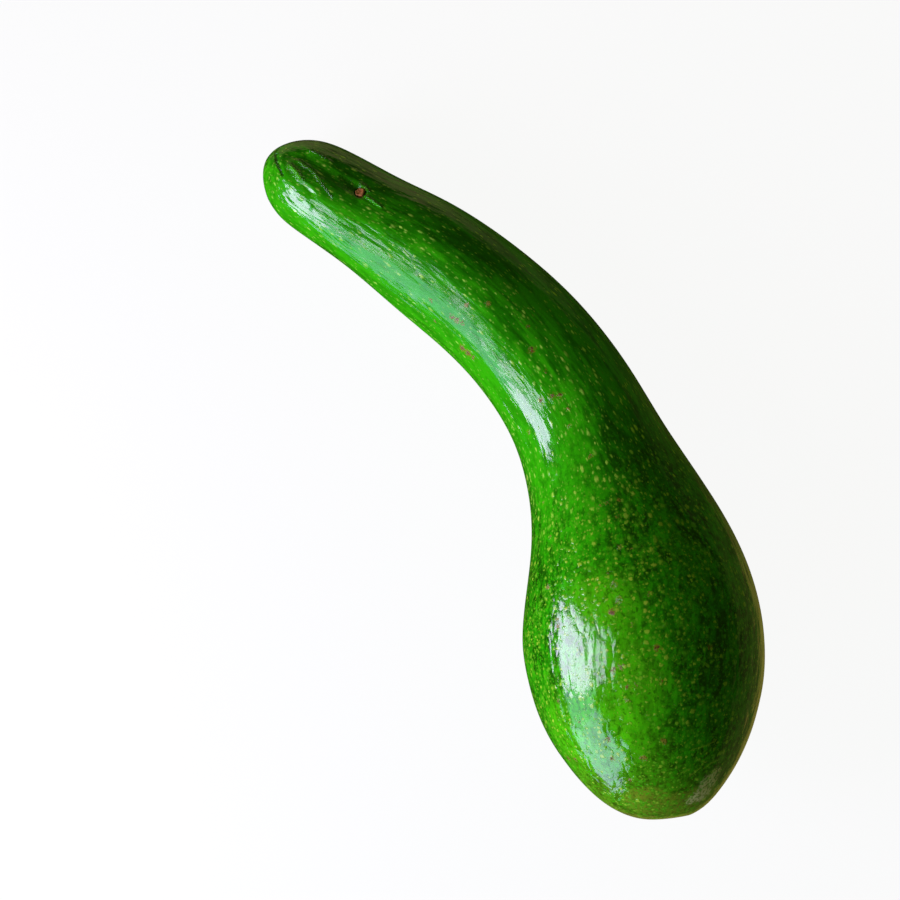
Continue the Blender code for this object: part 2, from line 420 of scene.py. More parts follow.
@dataclass(frozen=True)
class SkinRelief:
    """The finer relief of the skin: folds at the tip, the pit of the stem, flutes of the neck and lumps.

    Flutes and lumps have the wavelength in millimetres, stretch and seed of a cloud, after their height.
    """

    folds: tuple[Fold, ...] = (
        Fold(((10.5, 85), (19.5, 72)), 0.00035, 0.0010),
        Fold(((13.5, 96), (25.0, 87)), 0.00040, 0.0010),
        Fold(((14.0, 120), (23.0, 116)), 0.00040, 0.0010),
        Fold(((9.5, 62), (26.0, 52)), 0.00030, 0.0012),
        Fold(((3.5, 100), (5.7, 81), (8.4, 73), (10.2, 66)), -0.00075, 0.0007),
        Fold(((12.0, 79), (24.0, 66)), -0.00040, 0.0010),
        Fold(((15.0, 108), (27.0, 101)), -0.00030, 0.0013),
        Fold(((41.0, 97), (48.7, 94)), 0.00050, 0.0006),
        Fold(((36.6, 90), (39.0, 88.5), (41.4, 91)), 0.00018, 0.0008),
        Fold(((38.0, 106.5), (39.6, 107), (41.2, 104.5)), 0.00070, 0.0007),
    )
    lumps: tuple[tuple[float, float, float, float], ...] = (
        (0.00028, 24.0, 2.2, 3.1),
        (0.00013, 12.0, 2.6, 8.7),
        (0.00005, 6.5, 2.8, 14.3),
    )
    flutes: tuple[float, float, float, float] = (0.00022, 8.0, 7.0, 21.9)
    neck_start: Pair = (0.10, 0.16)
    full_relief_width: float = 0.010
    pit_depth: float = 0.0020
    pit_edge: Pair = (0.00165, 0.00225)

    def heights(self, form: FruitForm, places: Array, angles: Array, grown: Array) -> Array:
        """How far the finer relief stands out.

        Args:
            form: the broad form.
            places: distances along the core line from the blossom end.
            angles: angles round it.
            grown: grown coordinates of the same points.

        Returns:
            Heights, in metres.
        """
        total = sum(fold.relief(form.core, places, angles) for fold in self.folds)
        for height, *lump in self.lumps:
            total = total + height * cloud(grown, *lump)
        height, *flute = self.flutes
        total = total + height * cloud(grown, *flute) * smooth_step(places, *self.neck_start)
        half_width = form.core.half_width(places)
        total = total * np.clip(half_width / self.full_relief_width, 0, 1)
        arc = angle_between(angles, form.stem_angle) * half_width
        from_stem = np.hypot(arc, form.core.length - form.stem_from_tip - places)
        return total - self.pit_depth * (1 - smooth_step(from_stem, *self.pit_edge))


@dataclass(frozen=True)
class PhotoCamera:
    """The camera, looking straight down, and the rays of the photo's pixels."""

    ahead_of_bulb: Pair = (-0.0280, 0.0939)
    height: float = 0.75
    turn: float = math.radians(-29.37)
    lens: float = 77.65
    sensor: float = 36.0
    frame: int = 900

    def place(self, to_rest: Matrix) -> Vector:
        """Where the camera hangs, from the middle of the bulb."""
        bulb = to_rest.translation
        return Vector((bulb.x + self.ahead_of_bulb[0], bulb.y + self.ahead_of_bulb[1], self.height))

    def ray(self, pixel: Pixel) -> Vector:
        """The direction from the camera through a pixel of the photo.

        Args:
            pixel: counted from the photo's left and top.

        Returns:
            A unit vector.
        """
        pixels = self.lens / self.sensor * self.frame
        half = self.frame / 2
        ahead = Vector(((pixel[0] - half) / pixels, (half - pixel[1]) / pixels, -1.0))
        return Matrix.Rotation(self.turn, 3, "Z") @ ahead.normalized()

    def direction(self, azimuth: float) -> Vector:
        """The level direction at an azimuth in degrees, counted from the photo's right towards its top."""
        angle = math.radians(azimuth) + self.turn
        return Vector((math.cos(angle), math.sin(angle), 0.0))

    def make(self, to_rest: Matrix) -> None:
        """Adds the camera and makes it the scene's own.

        Args:
            to_rest: the move to how the fruit lies.
        """
        camera = bpy.data.cameras.new("photo_camera")
        camera.lens = self.lens
        camera.sensor_width = self.sensor
        obj = new_object("photo_camera", camera)
        obj.location = self.place(to_rest)
        obj.rotation_euler = (0.0, 0.0, self.turn)
        bpy.context.scene.camera = obj


class Blemish(Enum):
    """The kinds of mark on the skin. Some are painted light: lighter patches and a lighter side of the neck
    where the window lights the skin, and a pale painted glare on a matte patch.
    """

    RUST = "rust"
    STRAW = "straw"
    RING = "ring"
    DULL_AND_GLARE = "dull"
    PAINTED_LIGHT_PATCH = "flush"
    PAINTED_LIGHT_SIDE = "fresh"
    WELT = "welt"
    CREASE = "crease"
    OLIVE = "olive"
    SCRATCH = "scratch"


@dataclass(frozen=True)
class Mark:
    """A mark on the skin: where it starts and ends in grown coordinates, and its radius, in millimetres."""

    kind: Blemish
    start: Point
    end: Point
    radius: float


class Value:
    """A socket of a finish. Operators between it and numbers or other sockets add Math nodes."""

    def __init__(self, nodes: "Nodes", socket: bpy.types.NodeSocket) -> None:
        """Wraps an output socket of one of the nodes."""
        self.nodes = nodes
        self.socket = socket

    def _math(self, operation: str, *feeds: "Feed") -> "Value":
        """The result of a Math node."""
        return self.nodes.node("ShaderNodeMath", {"operation": operation}, dict(enumerate(feeds)))

    def __add__(self, other: "Feed") -> "Value":
        """self + other."""
        return self._math("ADD", self, other)

    def __radd__(self, other: "Feed") -> "Value":
        """other + self."""
        return self._math("ADD", other, self)

    def __sub__(self, other: "Feed") -> "Value":
        """self - other."""
        return self._math("SUBTRACT", self, other)

    def __rsub__(self, other: "Feed") -> "Value":
        """other - self."""
        return self._math("SUBTRACT", other, self)

    def __mul__(self, other: "Feed") -> "Value":
        """self * other."""
        return self._math("MULTIPLY", self, other)

    def __rmul__(self, other: "Feed") -> "Value":
        """other * self."""
        return self._math("MULTIPLY", other, self)

    def __truediv__(self, other: "Feed") -> "Value":
        """self / other."""
        return self._math("DIVIDE", self, other)

    def __rtruediv__(self, other: "Feed") -> "Value":
        """other / self."""
        return self._math("DIVIDE", other, self)

    def least(self, other: "Feed") -> "Value":
        """The smaller of the two."""
        return self._math("MINIMUM", self, other)

    def most(self, other: "Feed") -> "Value":
        """The larger of the two."""
        return self._math("MAXIMUM", self, other)

    def rise(self, start: "Feed", end: "Feed") -> "Value":
        """0 at start and 1 at end, smooth between them and level beyond; start may be the larger."""
        settings = {"interpolation_type": "SMOOTHSTEP"}
        return self.nodes.node("ShaderNodeMapRange", settings, {0: self, 1: start, 2: end})

    def other(self, output: int) -> "Value":
        """Another output of the same node."""
        return Value(self.nodes, self.socket.node.outputs[output])


Feed = Value | float | Sequence[float]


class Nodes:
    """The nodes of one material, or of the world."""

    def __init__(self, tree: bpy.types.NodeTree) -> None:
        """Starts from an empty tree."""
        self.tree = tree
        tree.nodes.clear()

    def node(
        self,
        kind: str,
        settings: Mapping[str, object] | None = None,
        feeds: Mapping[int | str, Feed] | None = None,
        output: int = 0,
    ) -> Value | None:
        """Adds a node.

        Args:
            kind: the node's type.
            settings: its settings, which are set first.
            feeds: a value or a link for each socket, by name or number.
            output: the output that is wanted.

        Returns:
            That output, or nothing where the node has none.
        """
        made = self.tree.nodes.new(kind)
        for name, setting in (settings or {}).items():
            setattr(made, name, setting)
        for place, feed in (feeds or {}).items():
            socket = made.inputs[place]
            if isinstance(feed, Value):
                self.tree.links.new(feed.socket, socket)
            elif socket.type == "RGBA":
                socket.default_value = (*feed, 1.0)
            else:
                socket.default_value = feed
        return Value(self, made.outputs[output]) if made.outputs else None

    def attribute(self, name: str) -> Value:
        """A vector that the mesh carries at each vertex."""
        return self.node("ShaderNodeAttribute", {"attribute_name": name}, output=1)

    def vector(self, operation: str, feeds: Mapping[int, Feed], output: int = 0) -> Value:
        """A result of a Vector Math node: output 0 is its vector and 1 its number."""
        return self.node("ShaderNodeVectorMath", {"operation": operation}, feeds, output)

    def distance(self, first: Feed, second: Feed) -> Value:
        """The distance between two points."""
        return self.vector("DISTANCE", {0: first, 1: second}, 1)

    def along(self, vector: Feed, direction: Vector) -> Value:
        """How far a vector reaches in a direction."""
        return self.vector("DOT_PRODUCT", {0: vector, 1: tuple(direction)}, 1)

    def times(self, vector: Feed, number: Feed) -> Value:
        """A vector times a number."""
        return self.vector("SCALE", {0: vector, 3: number})

    def stretch(self, vector: Value, times: float) -> Value:
        """Coordinates in which patterns come out this many times longer along the fruit."""
        return self.vector("MULTIPLY", {0: vector, 1: (1.0, 1.0, 1 / times)})

    def sway(self, vector: Value, pattern: Value, reach: Feed) -> Value:
        """Coordinates moved about by the colours of a noise, by up to about a quarter of the reach."""
        offset = self.vector("SUBTRACT", {0: pattern.other(1), 1: (0.5, 0.5, 0.5)})
        return self.vector("ADD", {0: vector, 1: self.times(offset, reach)})

    def from_line(self, point: Feed, start: Point, end: Point) -> Value:
        """The distance from a point to the line between two others, which may be the same.

        Args:
            point: the point.
            start: where the line starts.
            end: where it ends.

        Returns:
            The distance.
        """
        if start == end:
            return self.distance(point, start)
        run = Vector(end) - Vector(start)
        offset = self.vector("SUBTRACT", {0: point, 1: start})
        part = (self.along(offset, run) / run.length_squared).least(1.0).most(0.0)
        return self.distance(offset, self.times(tuple(run), part))

    def split(self, vector: Value) -> tuple[Value, Value, Value]:
        """The three parts of a vector or colour."""
        first = self.node("ShaderNodeSeparateXYZ", None, {0: vector})
        return first, first.other(1), first.other(2)

    def noise(self, vector: Value, wavelength: float, detail: float = 2.0, rough: float = 0.5) -> Value:
        """Noise with lumps of a size in the unit of the vector, about 0.25 to 0.75."""
        feeds = {"Vector": vector, "Scale": 1 / wavelength, "Detail": detail, "Roughness": rough}
        return self.node("ShaderNodeTexNoise", None, feeds)

    def cells(self, vector: Value, size: float) -> Value:
        """Distance to the middle of the nearest cell, in cells; its output 1 is random per cell."""
        return self.node("ShaderNodeTexVoronoi", None, {"Vector": vector, "Scale": 1 / size})

    def blend(self, share: Feed, first: Feed, second: Feed) -> Value:
        """The first colour, and the second where the share is 1."""
        return self.node("ShaderNodeMix", {"data_type": "RGBA"}, {0: share, 6: first, 7: second}, 2)

    def bump(self, height: Value) -> Value:
        """The normal of a relief whose height is in millimetres."""
        return self.node("ShaderNodeBump", None, {"Strength": 1.0, "Distance": MM, "Height": height})

    def surface(self, feeds: Mapping[int | str, Feed]) -> None:
        """Ends a material in a Principled shader with these feeds."""
        shader = self.node("ShaderNodeBsdfPrincipled", None, feeds)
        self.node("ShaderNodeOutputMaterial", None, {"Surface": shader})


def new_material(name: str) -> tuple[bpy.types.Material, Nodes]:
    """Adds a material.

    Args:
        name: its name.

    Returns:
        The material and its nodes, empty so far.
    """
    material = bpy.data.materials.new(name)
    material.use_nodes = True
    return material, Nodes(material.node_tree)


@dataclass(frozen=True)
class Flecks:
    """A layer of small round or drawn-out pores in the skin, in millimetres.

    A cell holds one pore at most, share is how many cells show theirs, seed moves the layer, strength is
    how much of the pores' own colour shows, height how far they stand out and slimmer how much smaller
    they are on the neck.
    """

    cell: float
    radius: float
    softness: float
    share: float
    seed: float
    strength: float
    height: float
    slimmer: float

    def mask(self, nodes: Nodes, drawn: Value, cluster: Value, neck: Value) -> tuple[Value, Value, Value]:
        """Where the pores are.

        Args:
            nodes: the nodes of the skin.
            drawn: coordinates that are shortened along the neck.
            cluster: about 0 where pores are few and 1 where they are many.
            neck: 0 on the bulb and 1 on the neck.

        Returns:
            The pores, the soft halo round them, and a random number for each.
        """
        moved = nodes.vector("ADD", {0: drawn, 1: (self.seed, self.seed * 0.37, self.seed * 1.71)})
        distance = nodes.cells(moved, self.cell)
        size, choice, own = nodes.split(distance.other(1))
        away = distance * self.cell
        radius = (size * 0.9 + 0.55) * self.radius * (1 - neck * self.slimmer)
        shown = (choice + cluster * 0.5).rise(1.02 - self.share, 1.12 - self.share)
        pore = away.rise(radius + self.softness, radius - self.softness) * shown
        halo = away.rise(radius * 2.1 + 0.1, radius) * shown
        return pore, halo, own


@dataclass(frozen=True)
class SkinFinish:
    """Glossy green skin with yellow pores, rust marks and fine lengthwise wrinkles. Some of its colour is
    painted light: lighter green where the window lights the side of the neck and the bulb round its
    highlight, pale painted glints on the neck's pores and ridges, painted shade in the creases and a painted
    glare on a matte patch near the blossom end.

    Colours are linear. The neck, the tip, the blossom end and the rubbed stretch of the neck set in and
    fade out between two places, in millimetres along the core line.
    """

    shadow_green: Colour = (0.0025, 0.016, 0.0004)
    deep_green: Colour = (0.0056, 0.067, 0.0006)
    mid_green: Colour = (0.0130, 0.235, 0.0009)
    light_green: Colour = (0.0400, 0.460, 0.0024)
    end_green: Colour = (0.1500, 0.250, 0.0080)
    olive_green: Colour = (0.2000, 0.250, 0.0140)
    # Painted light: the lighter green of the patches round the bulb's highlight, also used to lighten ridges
    painted_light_patch_green: Colour = (0.0920, 0.520, 0.0030)
    # Painted light: the lighter green of the side of the neck that faces the window
    painted_light_side_green: Colour = (0.0280, 0.370, 0.0016)
    pore_green: Colour = (0.1200, 0.460, 0.0120)
    pore_yellow: Colour = (0.3200, 0.520, 0.0280)
    # Painted glint: the near white that the neck's raised pores are paled towards
    pore_painted_glint: Colour = (0.5000, 0.880, 0.1000)
    halo_green: Colour = (0.0500, 0.310, 0.0030)
    rust: Colour = (0.2300, 0.076, 0.0070)
    rust_dark: Colour = (0.0380, 0.014, 0.0030)
    rust_rim: Colour = (0.2600, 0.260, 0.0160)
    straw: Colour = (0.3200, 0.230, 0.0240)
    straw_dark: Colour = (0.1200, 0.080, 0.0100)
    # Painted glare: the pale beige that the matte patch near the blossom end is paled towards
    dull: Colour = (0.7000, 0.610, 0.2600)
    roughness: float = 0.075
    neck_start: Pair = (90.0, 165.0)
    tip_start: Pair = (215.0, 264.0)
    end_fade: Pair = (42.0, 14.0)
    rubbed_start: Pair = (175.0, 205.0)
    rubbed_fade: Pair = (262.0, 238.0)
    plate_size: float = 3.7
    pores: tuple[Flecks, ...] = (
        Flecks(1.0, 0.22, 0.10, 0.50, 5.0, 0.50, 0.005, 0.15),
        Flecks(1.7, 0.42, 0.14, 0.52, 47.0, 0.95, 0.024, 0.40),
        Flecks(3.1, 0.58, 0.26, 0.50, 31.0, 1.00, 0.055, 0.42),
        Flecks(2.3, 0.58, 0.20, -0.16, 83.0, 1.00, 0.045, 0.42),
    )

    def _away(self, nodes: Nodes, at: Value, marks: Sequence[Mark], kind: Blemish) -> Value:
        """How far the marks of a kind are.

        Args:
            nodes: the nodes of the skin.
            at: the coordinates that they are drawn in.
            marks: the marks of all kinds.
            kind: their kind.

        Returns:
            The least distance to any of them, each counted in its own radius.
        """
        own = [mark for mark in marks if mark.kind is kind]
        least, *others = [nodes.from_line(at, mark.start, mark.end) / mark.radius for mark in own]
        for away in others:
            least = away.least(least)
        return least

    def material(self, marks: Sequence[Mark]) -> bpy.types.Material:
        """Builds the finish.

        Args:
            marks: the marks on the skin.

        Returns:
            The material.
        """
        material, nodes = new_material("avocado_skin")
        grown = nodes.attribute("grown")
        drawn = nodes.attribute("drawn")
        _, _, along = nodes.split(grown)
        neck = along.rise(*self.neck_start)
        tip = along.rise(*self.tip_start)
        bulb = 1 - neck * 0.8

        # How far the marks are, with soft, ragged or wavy edges
        ragged = nodes.noise(grown, 0.8, 3.0, 0.6)
        at = nodes.sway(grown, ragged, 4.5)
        wavy = nodes.sway(grown, ragged, 1.9)
        fresh = self._away(nodes, grown, marks, Blemish.PAINTED_LIGHT_SIDE).rise(1.25, 0.3)
        flush = self._away(nodes, grown, marks, Blemish.PAINTED_LIGHT_PATCH).rise(1.25, 0.3)
        olive = self._away(nodes, grown, marks, Blemish.OLIVE).rise(1.05, 0.85)
        from_rust = self._away(nodes, at, marks, Blemish.RUST)
        from_straw = self._away(nodes, at, marks, Blemish.STRAW)
        from_ring = self._away(nodes, at, marks, Blemish.RING)
        dull = self._away(nodes, at, marks, Blemish.DULL_AND_GLARE).rise(1.15, 0.55)
        welt = self._away(nodes, wavy, marks, Blemish.WELT).rise(1.0, 0.0)
        crease = self._away(nodes, wavy, marks, Blemish.CREASE).rise(1.1, 0.1)
        scratch = self._away(nodes, wavy, marks, Blemish.SCRATCH).rise(1.1, 0.5)

        # Green, cloudy along the fruit and yellower at the blossom end
        broad = nodes.noise(nodes.stretch(grown, 2.8), 13.0, 2.0)
        streaks = nodes.noise(nodes.stretch(grown, 4.5), 2.6, 3.0, 0.62)
        mottle = nodes.noise(nodes.stretch(grown, 1.6), 4.2, 2.0, 0.55)
        grain = nodes.noise(nodes.stretch(grown, 1.3), 1.5, 3.0, 0.75)
        strands = nodes.noise(nodes.stretch(grown, 9.0), 2.0)
        cloudy = mottle + neck * (strands - mottle) * 0.75
        tone = (broad * 0.30 + streaks * 0.28 + cloudy * 0.42).rise(0.38, 0.65) + neck * 0.32 - 0.05
        colour = nodes.blend(tone.rise(0.0, 0.55), self.deep_green, self.mid_green)
        colour = nodes.blend(tone.rise(0.5, 1.0) * 0.8, colour, self.light_green)
        # Painted light: lighter green along the side of the neck that faces the window
        colour = nodes.blend(fresh * (0.30 + tone * 0.55), colour, self.painted_light_side_green)
        # Painted light: lighter green patches round the bulb's highlight, where the window lights the skin
        colour = nodes.blend(flush * (0.50 + tone * 0.50), colour, self.painted_light_patch_green)
        end = (along + broad * 26.0).rise(*self.end_fade)
        colour = nodes.blend(end * (0.40 + tone * 0.4), colour, self.end_green)
        colour = nodes.blend(olive * (0.70 + tone * 0.25), colour, self.olive_green)
        colour = nodes.blend(grain.rise(0.50, 0.36) * bulb * 0.62, colour, self.deep_green)
        colour = nodes.blend(grain.rise(0.52, 0.66) * bulb * 0.75, colour, self.light_green)

        # Pores
        cluster = nodes.noise(grown, 11.0, 1.0).rise(0.38, 0.60) + neck * 0.50
        drawn = nodes.sway(drawn, nodes.noise(drawn, 0.9, 1.0), 1.2 - neck * 0.6)
        raised = shine = 0.0
        for flecks in self.pores:
            pore, halo, own = flecks.mask(nodes, drawn, cluster, neck)
            colour = nodes.blend(halo * (0.60 - neck * 0.25) * flecks.strength, colour, self.halo_green)
            pore_colour = nodes.blend(own.rise(0.15, 0.75), self.pore_green, self.pore_yellow)
            # On the neck many pores are paled towards near white, a painted glint of the window on raised
            # pores
            pore_colour = nodes.blend(neck * own.rise(0.05, 0.45) * 0.9, pore_colour, self.pore_painted_glint)
            shown = (0.50 + own * 0.50 + neck * 0.15) * (1 - fresh * neck * 0.55)
            colour = nodes.blend(pore * flecks.strength * shown, colour, pore_colour)
            raised = pore * flecks.height + raised
            shine = pore * flecks.strength + shine

        # Colours of the marks
        grit = nodes.noise(grown, 0.42, 2.0, 0.65)
        patchy = grit.rise(0.40, 0.60)
        blotchy = nodes.noise(grown, 1.2, 1.0).rise(0.42, 0.54)
        rust = (from_rust + patchy * 0.25).rise(1.15, 0.75)
        straw = (from_straw + patchy * 0.2).rise(1.15, 0.65)
        ring = from_ring.rise(1.25, 0.95) * from_ring.rise(0.45, 0.75)
        # The matte patch near the blossom end: rougher gloss and bumps, and a pale beige painted glare
        colour = nodes.blend(dull * (0.12 + blotchy * 0.68 + patchy * 0.10), colour, self.dull)
        colour = nodes.blend(from_rust.rise(1.7, 1.0) * 0.40, colour, self.rust_rim)
        colour = nodes.blend(rust * 0.92, colour, nodes.blend(patchy, self.rust, self.rust_dark))
        colour = nodes.blend(straw * 0.85, colour, nodes.blend(patchy, self.straw, self.straw_dark))
        colour = nodes.blend(ring * 0.35, colour, self.straw)
        colour = nodes.blend(scratch * (0.25 + patchy * 0.35), colour, self.pore_yellow)
        # Painted highlight: the ridges at the tip and by the stem are lightened, on top of their real relief
        colour = nodes.blend(welt * 0.35, colour, self.painted_light_patch_green)
        # Painted shade: the creases are darkened towards a shadow green, on top of their real relief
        colour = nodes.blend(crease * (0.35 + patchy * 0.40), colour, self.shadow_green)

        # Relief, in millimetres
        waves = nodes.noise(nodes.stretch(grown, 2.4), 6.5, 1.0)
        plates = nodes.cells(nodes.sway(nodes.stretch(grown, 2.2), waves, 4.5), self.plate_size)
        folds = nodes.noise(nodes.stretch(grown, 5.0), 1.9)
        ribs = nodes.noise(nodes.stretch(grown, 6.0), 4.0, 2.0, 0.6)
        hair = nodes.noise(nodes.stretch(grown, 11.0), 0.62, 2.0, 0.6)
        pebble = nodes.noise(grown, 0.75)
        height = waves * 0.25 - plates * plates * (0.20 - neck * 0.15) + folds * (0.050 + neck * 0.030)
        height = height + ribs * (neck * 0.40 + tip * 0.25) + strands * (neck * 0.17 + tip * 0.13)
        height = height + hair * (0.010 + neck * 0.030) + pebble * bulb * 0.024 + raised
        height = height + welt * 0.75 - crease * 0.30
        height = height + rust * (grit * 0.14 - 0.03) + straw * grit * 0.08
        height = height + ring * 0.06 - from_ring.rise(0.7, 0.3) * 0.06 + dull * grit * 0.10

        # Gloss, less on the marks and where the neck is rubbed
        rubbed = along.rise(*self.rubbed_start) * along.rise(*self.rubbed_fade)
        rough = self.roughness + neck * 0.02 + tip * 0.03 + rubbed * streaks * 0.09 + mottle * 0.03
        rough = rough + shine * 0.06 + rust * 0.24 + straw * 0.14 + dull * 0.12
        nodes.surface({"Base Color": colour, "Roughness": rough, "IOR": 1.5, "Normal": nodes.bump(height)})
        return material


@dataclass(frozen=True)
class StubFinish:
    """Dry brown wood of the stem, fibrous and matte. Colours are linear."""

    bark: Colour = (0.300, 0.100, 0.032)
    wood: Colour = (0.700, 0.240, 0.060)
    pale: Colour = (0.780, 0.380, 0.130)
    fibre_stretch: float = 4.0

    def material(self) -> bpy.types.Material:
        """Builds the finish.

        Returns:
            The material.
        """
        material, nodes = new_material("dry_stem_wood")
        place = nodes.attribute("stem")
        fibres = nodes.noise(nodes.stretch(place, self.fibre_stretch), 0.35, 3.0, 0.6)
        grain = nodes.noise(place, 0.8)
        colour = nodes.blend(fibres.rise(0.35, 0.65), self.bark, self.wood)
        colour = nodes.blend(grain.rise(0.5, 0.7) * 0.7, colour, self.pale)
        height = fibres * 0.08 + grain * 0.06
        rough = 0.62 + grain * 0.3
        nodes.surface({"Base Color": colour, "Roughness": rough, "Normal": nodes.bump(height)})
        return material


@dataclass(frozen=True)
class FloorFinish:
    """The pale surface and backdrop, with a faint soft shadow."""

    shade: Colour = (0.07, 0.07, 0.07)
    glow: Colour = (1.0, 1.0, 0.995)
    glow_strength: float = 0.93

    def material(self) -> bpy.types.Material:
        """Builds the finish.

        Returns:
            The material.
        """
        material, nodes = new_material("pale_surface")
        feeds = {"Base Color": self.shade, "Roughness": 1.0, "Specular IOR Level": 0.0}
        feeds |= {"Emission Color": self.glow, "Emission Strength": self.glow_strength}
        nodes.surface(feeds)
        material.cycles.emission_sampling = "NONE"
        return material


@dataclass
class Fruit:
    """The fruit: its skin, laid in rings along the core line and closed at both ends.

    Marks have a kind, a radius in millimetres and the photo's pixels: spots one each, lines all in a row.
    Unseen spots have millimetres from the tip and degrees round the core line instead of pixels. Rings and
    sides are closer together where finer says how much and span or reach says where.
    """

    form: FruitForm
    relief: SkinRelief = field(default_factory=SkinRelief)
    finish: SkinFinish = field(default_factory=SkinFinish)
    rings: int = 336
    sides: int = 288
    first_angle: float = -math.pi / 2
    tip_finer: float = 1.5
    tip_span: Pair = (0.045, 0.075)
    stem_finer: float = 2.4
    stem_reach: float = 0.004
    stem_side_finer: float = 1.2
    stem_side_reach: float = math.radians(11)
    neck_shorter: float = 0.60
    neck_span: Pair = (75.0, 145.0)
    spots: tuple[tuple[Blemish, float, tuple[Pixel, ...]], ...] = (
        (Blemish.RUST, 1.4, ((468, 353),)),
        (Blemish.RUST, 1.3, ((462, 348),)),
        (Blemish.RUST, 1.2, ((612, 612),)),
        (Blemish.RUST, 1.1, ((532, 350), (657, 648))),
        (Blemish.RUST, 1.0, ((457, 320), (568, 758))),
        (Blemish.RUST, 0.9, ((452, 317), (553, 396), (560, 395), (621, 667), (613, 670), (608, 740))),
        (Blemish.RUST, 0.8, ((473, 357), (541, 400), (529, 432), (627, 687), (613, 759), (575, 759))),
        (Blemish.RUST, 0.7, ((462, 323), (627, 700), (662, 682), (710, 647), (431, 300), (649, 594))),
        (Blemish.RUST, 0.6, ((543, 503), (635, 685), (630, 780), (558, 701), (435, 321), (632, 625))),
        (Blemish.RUST, 0.5, ((546, 371), (602, 677), (580, 722))),
        (Blemish.STRAW, 1.4, ((548, 587), (664, 741), (643, 758))),
        (Blemish.STRAW, 1.3, ((488, 304),)),
        (Blemish.STRAW, 1.2, ((467, 305),)),
        (Blemish.STRAW, 1.0, ((590, 456), (557, 619), (558, 626))),
        (Blemish.STRAW, 0.9, ((528, 326),)),
        (Blemish.STRAW, 0.8, ((568, 409), (569, 426), (619, 500), (617, 517))),
        (Blemish.STRAW, 0.7, ((600, 506), (607, 503), (550, 537), (631, 548), (609, 573))),
        (Blemish.RING, 0.9, ((620, 547),)),
        (Blemish.RING, 1.2, ((614, 585), (619, 600))),
        # Painted light: lighter patches round the bulb's highlight, on the side that the window lights
        (Blemish.PAINTED_LIGHT_PATCH, 17.0, ((628, 690),)),
        (Blemish.PAINTED_LIGHT_PATCH, 18.0, ((598, 612),)),
        (Blemish.PAINTED_LIGHT_PATCH, 21.0, ((614, 735), (582, 738))),
        (Blemish.PAINTED_LIGHT_PATCH, 22.0, ((606, 675),)),
        (Blemish.OLIVE, 9.0, ((648, 803),)),
        (Blemish.OLIVE, 8.0, ((676, 806), (697, 800))),
        # A matte patch near the blossom end, its pale colour a painted glare
        (Blemish.DULL_AND_GLARE, 4.5, ((709, 783), (702, 794))),
        (Blemish.DULL_AND_GLARE, 2.6, ((716, 773), (692, 800))),
    )
    lines: tuple[tuple[Blemish, float, tuple[Pixel, ...]], ...] = (
        # Painted light: the lighter stretch along the side of the neck that faces the window
        (Blemish.PAINTED_LIGHT_SIDE, 15.0, ((288, 200), (330, 228), (375, 262), (425, 300), (475, 350), (510, 405))),
        (Blemish.PAINTED_LIGHT_SIDE, 18.0, ((510, 405), (546, 450), (568, 505), (578, 550))),
        # Ridges at the tip and by the stem, lightened in colour as a painted highlight
        (Blemish.WELT, 1.1, ((312, 150), (319, 153), (326, 157))),
        (Blemish.WELT, 1.1, ((300, 161), (305, 166), (312, 170), (319, 179))),
        (Blemish.WELT, 1.9, ((290, 166), (297, 173), (301, 179))),
        (Blemish.WELT, 0.6, ((319, 180), (326, 189), (332, 197))),
        (Blemish.WELT, 1.3, ((361, 184), (365, 186), (368, 190))),
        (Blemish.WELT, 0.8, ((367, 197), (374, 201), (381, 206))),
        # Creases, darkened in colour as painted shade
        (Blemish.CREASE, 0.75, ((276, 151), (276, 160))),
        (Blemish.CREASE, 0.60, ((276, 160), (279, 168))),
        (Blemish.CREASE, 0.45, ((279, 168), (283, 176))),
        (Blemish.CREASE, 2.4, ((342, 178), (354, 189))),
        (Blemish.SCRATCH, 0.35, ((678, 774), (690, 769))),
        (Blemish.SCRATCH, 0.45, ((704, 768), (711, 763), (718, 760))),
        (Blemish.SCRATCH, 0.40, ((706, 746), (716, 740))),
        (Blemish.SCRATCH, 0.40, ((692, 750), (704, 746))),
        (Blemish.SCRATCH, 0.35, ((714, 748), (724, 754))),
        (Blemish.SCRATCH, 0.35, ((696, 758), (705, 762))),
        (Blemish.SCRATCH, 0.50, ((690, 776), (700, 768))),
    )
    unseen_spots: tuple[tuple[Blemish, float, Pair], ...] = (
        (Blemish.RUST, 1.1, (240.0, -70.0)),
        (Blemish.RUST, 0.9, (252.0, -38.0)),
        (Blemish.RUST, 1.2, (214.0, 205.0)),
        (Blemish.RUST, 1.0, (130.0, -95.0)),
        (Blemish.RUST, 0.9, (92.0, 222.0)),
        (Blemish.STRAW, 1.2, (190.0, -60.0)),
        (Blemish.STRAW, 1.0, (160.0, 230.0)),
        (Blemish.STRAW, 1.3, (262.0, 240.0)),
        (Blemish.RING, 1.1, (226.0, -24.0)),
    )
    scar_radius: float = 2.0

    def _places(self) -> Array:
        """Places of the rings and both ends.

        Returns:
            Distances along the core line, closer together near the tip and the stem.
        """
        core = self.form.core
        fine = core.length * (1 - np.cos(np.linspace(0, math.pi, 6000))) / 2
        from_tip = core.length - (fine[1:] + fine[:-1]) / 2
        closer = 1 + self.tip_finer * (1 - smooth_step(from_tip, *self.tip_span))
        closer = closer + self.stem_finer * bell(from_tip - self.form.stem_from_tip, self.stem_reach)
        return spread(fine, np.hypot(np.diff(fine), np.diff(core.half_width(fine))) * closer, self.rings + 2)

